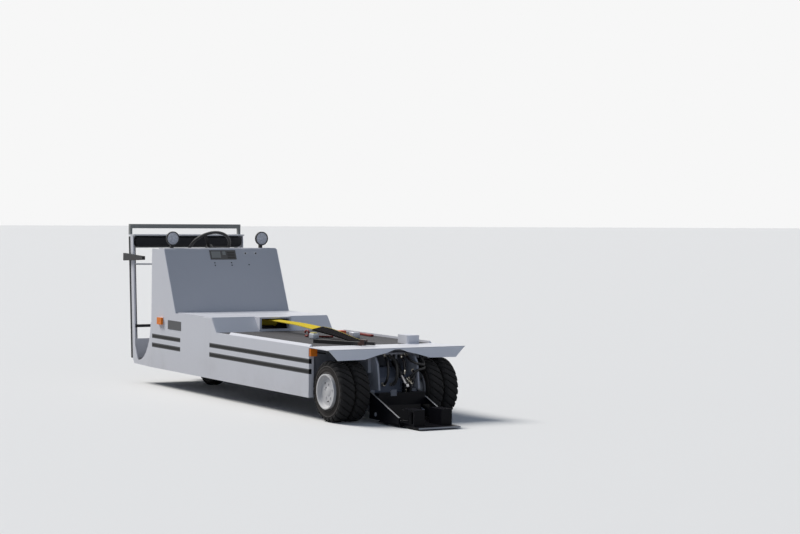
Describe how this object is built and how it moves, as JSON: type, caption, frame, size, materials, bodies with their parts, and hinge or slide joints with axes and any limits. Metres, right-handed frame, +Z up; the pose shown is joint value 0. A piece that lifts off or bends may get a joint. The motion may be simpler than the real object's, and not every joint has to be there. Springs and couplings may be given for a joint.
{
  "type": "aircraft pushback tractor",
  "caption": "Low electric towbarless aircraft tug with a stand-on operator's post at the rear and a strap winch and nose wheel cradle at the front",
  "frame": {"origin": "on the floor, below the middle of the overall box", "axes": "+X points forward, to the nose wheel cradle; +Y points to the tractor's left; +Z points up"},
  "size_m": [4.005, 1.1, 1.2785],
  "materials": {
    "body_white": "semi-gloss white paint, lightly worn",
    "frame_paint": "satin dark grey paint",
    "deck_grip": "matt grip coating",
    "black_paint": "satin black paint",
    "gear_grey": "painted blue-grey casting",
    "motor_black": "matt black",
    "tyre_rubber": "dusty black rubber",
    "wheel_cream": "satin cream-white paint",
    "rod_chrome": "polished",
    "bumper_rubber": "matt",
    "pad_vinyl": "smooth black vinyl",
    "control_plastic": "matt",
    "lens_clear": "clear",
    "lens_amber": "translucent amber",
    "strap_yellow": "woven webbing",
    "sleeve_black": "heavy woven sleeve",
    "battery_grey": "matt",
    "rail_steel": "dull grey"
  },
  "bodies": {
    "vehicle": {"chassis_frame": "frame_paint", "side_panel_right": "body_white", "side_panel_left": "body_white", "deck_plate": "deck_grip", "front_fender": "body_white", "strap_bar": "black_paint", "console_shell": "body_white", "dash_panel": "body_white", "bay_cover": "body_white", "battery_pack": "battery_grey", "rear_corner_right": "body_white", "rear_corner_left": "body_white", "rear_panel": "body_white", "operator_floor": "deck_grip", "rear_rail": "rail_steel", "corner_bumpers": "bumper_rubber", "lower_bar": "black_paint", "backrest_pad": "pad_vinyl", "side_arms": "black_paint", "pedals": "control_plastic", "headlamp_shells": "control_plastic", "headlamp_lenses": "lens_clear", "marker_lamps": "lens_amber", "steering_column": "control_plastic", "winch_frame": "black_paint", "winch_strap": "strap_yellow", "strap_sleeve": "sleeve_black", "drive_axle": "gear_grey", "drive_motor": "motor_black", "hydraulic_valve": "gear_grey", "tow_hitch": "black_paint"},
    "drive_wheels_right": {"wheels_right": "wheel_cream", "tyres_right": "tyre_rubber"},
    "drive_wheels_left": {"wheels_left": "wheel_cream", "tyres_left": "tyre_rubber"},
    "steer_unit": {"steer_fork": "frame_paint"},
    "steered_wheel": {"steer_rim": "wheel_cream", "steer_tyre": "tyre_rubber"},
    "hand_wheel": {"steering_wheel": "control_plastic"},
    "cradle": {"cradle_frame": "black_paint", "cradle_scoop": "black_paint"},
    "lift_cylinder": {"lift_barrel": "black_paint"},
    "lift_piston": {"lift_rod": "rod_chrome"},
    "battery_cover": {"battery_lid": "body_white"},
    "winch_reel": {"winch_drum": "strap_yellow"}
  },
  "joints": [
    {"name": "drive_roll_right", "type": "hinge", "parent": "vehicle", "child": "drive_wheels_right", "pos_m": [1.3025, -0.34, 0.21], "axis": [0, 1, 0], "continuous": true},
    {"name": "drive_roll_left", "type": "hinge", "parent": "vehicle", "child": "drive_wheels_left", "pos_m": [1.3025, 0.34, 0.21], "axis": [0, 1, 0], "continuous": true},
    {"name": "steer_turn", "type": "hinge", "parent": "vehicle", "child": "steer_unit", "pos_m": [-1.3975, 0, 0.42], "axis": [0, 0, 1], "range_deg": [-70, 70]},
    {"name": "steered_roll", "type": "hinge", "parent": "steer_unit", "child": "steered_wheel", "pos_m": [-1.3975, 0, 0.19], "axis": [0, 1, 0], "continuous": true},
    {"name": "hand_wheel_turn", "type": "hinge", "parent": "vehicle", "child": "hand_wheel", "pos_m": [-1.4395, 0, 1.048], "axis": [-0.7314, 0, 0.682], "range_deg": [-540, 540]},
    {"name": "cradle_lift", "type": "hinge", "parent": "vehicle", "child": "cradle", "pos_m": [1.4975, 0, 0.062], "axis": [0, -1, 0], "range_deg": [0, 10]},
    {"name": "cylinder_tilt", "type": "hinge", "parent": "vehicle", "child": "lift_cylinder", "pos_m": [1.2845, 0.056, 0.43], "axis": [0, 1, 0], "range_deg": [0, 6]},
    {"name": "piston_slide", "type": "slide", "parent": "lift_cylinder", "child": "lift_piston", "axis": [0.7273, 0, -0.6863], "range_m": [-0.0185, 0]},
    {"name": "lid_open", "type": "hinge", "parent": "vehicle", "child": "battery_cover", "pos_m": [-1.03916, 0, 0.603], "axis": [0, -1, 0], "range_deg": [0, 80]},
    {"name": "winch_turn", "type": "hinge", "parent": "vehicle", "child": "winch_reel", "pos_m": [-0.50686, 0, 0.562], "axis": [0, 1, 0], "continuous": true}
  ],
  "couplings": [
    {"joint": "cylinder_tilt", "follows": "cradle_lift", "ratio": 0.585},
    {"joint": "piston_slide", "follows": "cradle_lift", "m_per_rad": -0.105}
  ]
}
